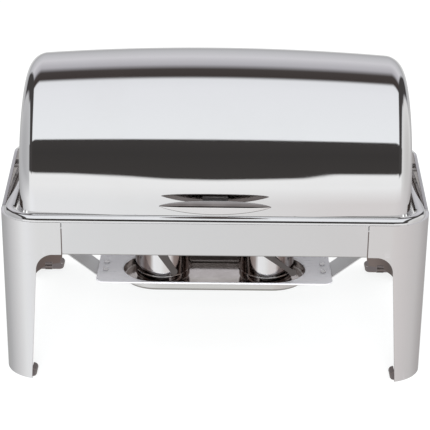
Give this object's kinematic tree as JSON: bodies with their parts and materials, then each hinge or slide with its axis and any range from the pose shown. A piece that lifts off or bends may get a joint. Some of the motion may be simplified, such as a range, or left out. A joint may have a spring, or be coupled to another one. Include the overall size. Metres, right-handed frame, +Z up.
{
  "type": "roll-top chafing dish",
  "caption": "Roll-top food warmer: a half-round lid that rolls back over a food pan in a water bath, on a four-legged sheet frame with a shelf of fuel burners.",
  "frame": {"origin": "on the floor at the centre of the four feet", "axes": "+X across the width to the right, -Y towards the front with the lid handle, +Z up"},
  "size_m": [0.658, 0.445, 0.464],
  "materials": {
    "mirror_steel": "mirror-polished stainless steel sheet",
    "hidden_steel": "satin stainless steel, brackets and rails",
    "pan_steel": "bright satin stainless steel, pressed pans",
    "fastener_steel": "bright stainless fasteners",
    "buffer_rubber": "matt black rubber",
    "washer_nylon": "natural nylon"
  },
  "bodies": {
    "frame": {"front_left_leg": "mirror_steel", "front_right_leg": "mirror_steel", "rear_left_leg": "mirror_steel", "rear_right_leg": "mirror_steel", "front_apron": "mirror_steel", "rear_apron": "mirror_steel", "left_side_panel": "mirror_steel", "right_side_panel": "mirror_steel", "top_plate": "mirror_steel", "lid_ring": "mirror_steel", "fuel_shelf": "mirror_steel", "left_pivot_bolt": "mirror_steel", "right_pivot_bolt": "mirror_steel", "foot_plates": "mirror_steel", "seam_plates": "hidden_steel", "left_pan_rail": "hidden_steel", "right_pan_rail": "hidden_steel", "front_pan_rail": "hidden_steel", "rear_pan_rail": "hidden_steel", "front_ledge": "hidden_steel", "left_shelf_hanger": "hidden_steel", "right_shelf_hanger": "hidden_steel", "lid_stops": "hidden_steel", "seam_studs": "fastener_steel", "pivot_spacers": "fastener_steel", "pivot_nuts": "fastener_steel", "hanger_screws": "fastener_steel", "hanger_nuts": "fastener_steel", "shelf_rivets": "fastener_steel", "lid_buffers": "buffer_rubber", "pivot_washers": "washer_nylon"},
    "lid": {"lid_shell": "mirror_steel", "left_hinge_plate": "hidden_steel", "right_hinge_plate": "hidden_steel", "hinge_plate_rivets": "fastener_steel", "lid_handle": "mirror_steel", "handle_mount": "mirror_steel", "handle_screws": "fastener_steel"},
    "water_bath": {"water_pan": "pan_steel"},
    "food_tray": {"food_pan": "pan_steel"},
    "left_burner": {"left_fuel_holder": "mirror_steel", "left_snuffer_pin": "fastener_steel"},
    "right_burner": {"right_fuel_holder": "mirror_steel", "right_snuffer_pin": "fastener_steel"},
    "left_snuffer": {"left_snuffer_cover": "mirror_steel", "left_snuffer_lever": "hidden_steel"},
    "right_snuffer": {"right_snuffer_cover": "mirror_steel", "right_snuffer_lever": "hidden_steel"}
  },
  "joints": [
    {"name": "lid_roll", "type": "hinge", "parent": "frame", "child": "lid", "pos_m": [0, 0, 0.274], "axis": [-1, 0, 0], "range_deg": [0, 90]},
    {"name": "water_pan_lift", "type": "slide", "parent": "frame", "child": "water_bath", "axis": [0, 0, 1], "range_m": [0, 0.035]},
    {"name": "food_pan_lift", "type": "slide", "parent": "water_bath", "child": "food_tray", "axis": [0, 0, 1], "range_m": [0, 0.035]},
    {"name": "left_burner_lift", "type": "slide", "parent": "frame", "child": "left_burner", "axis": [0, 0, 1], "range_m": [0, 0.018]},
    {"name": "right_burner_lift", "type": "slide", "parent": "frame", "child": "right_burner", "axis": [0, 0, 1], "range_m": [0, 0.018]},
    {"name": "left_snuffer_swivel", "type": "hinge", "parent": "left_burner", "child": "left_snuffer", "pos_m": [-0.084, 0.004, 0.159], "axis": [0, 0, -1], "range_deg": [0, 100]},
    {"name": "right_snuffer_swivel", "type": "hinge", "parent": "right_burner", "child": "right_snuffer", "pos_m": [0.084, 0.004, 0.159], "axis": [0, 0, 1], "range_deg": [0, 100]}
  ]
}
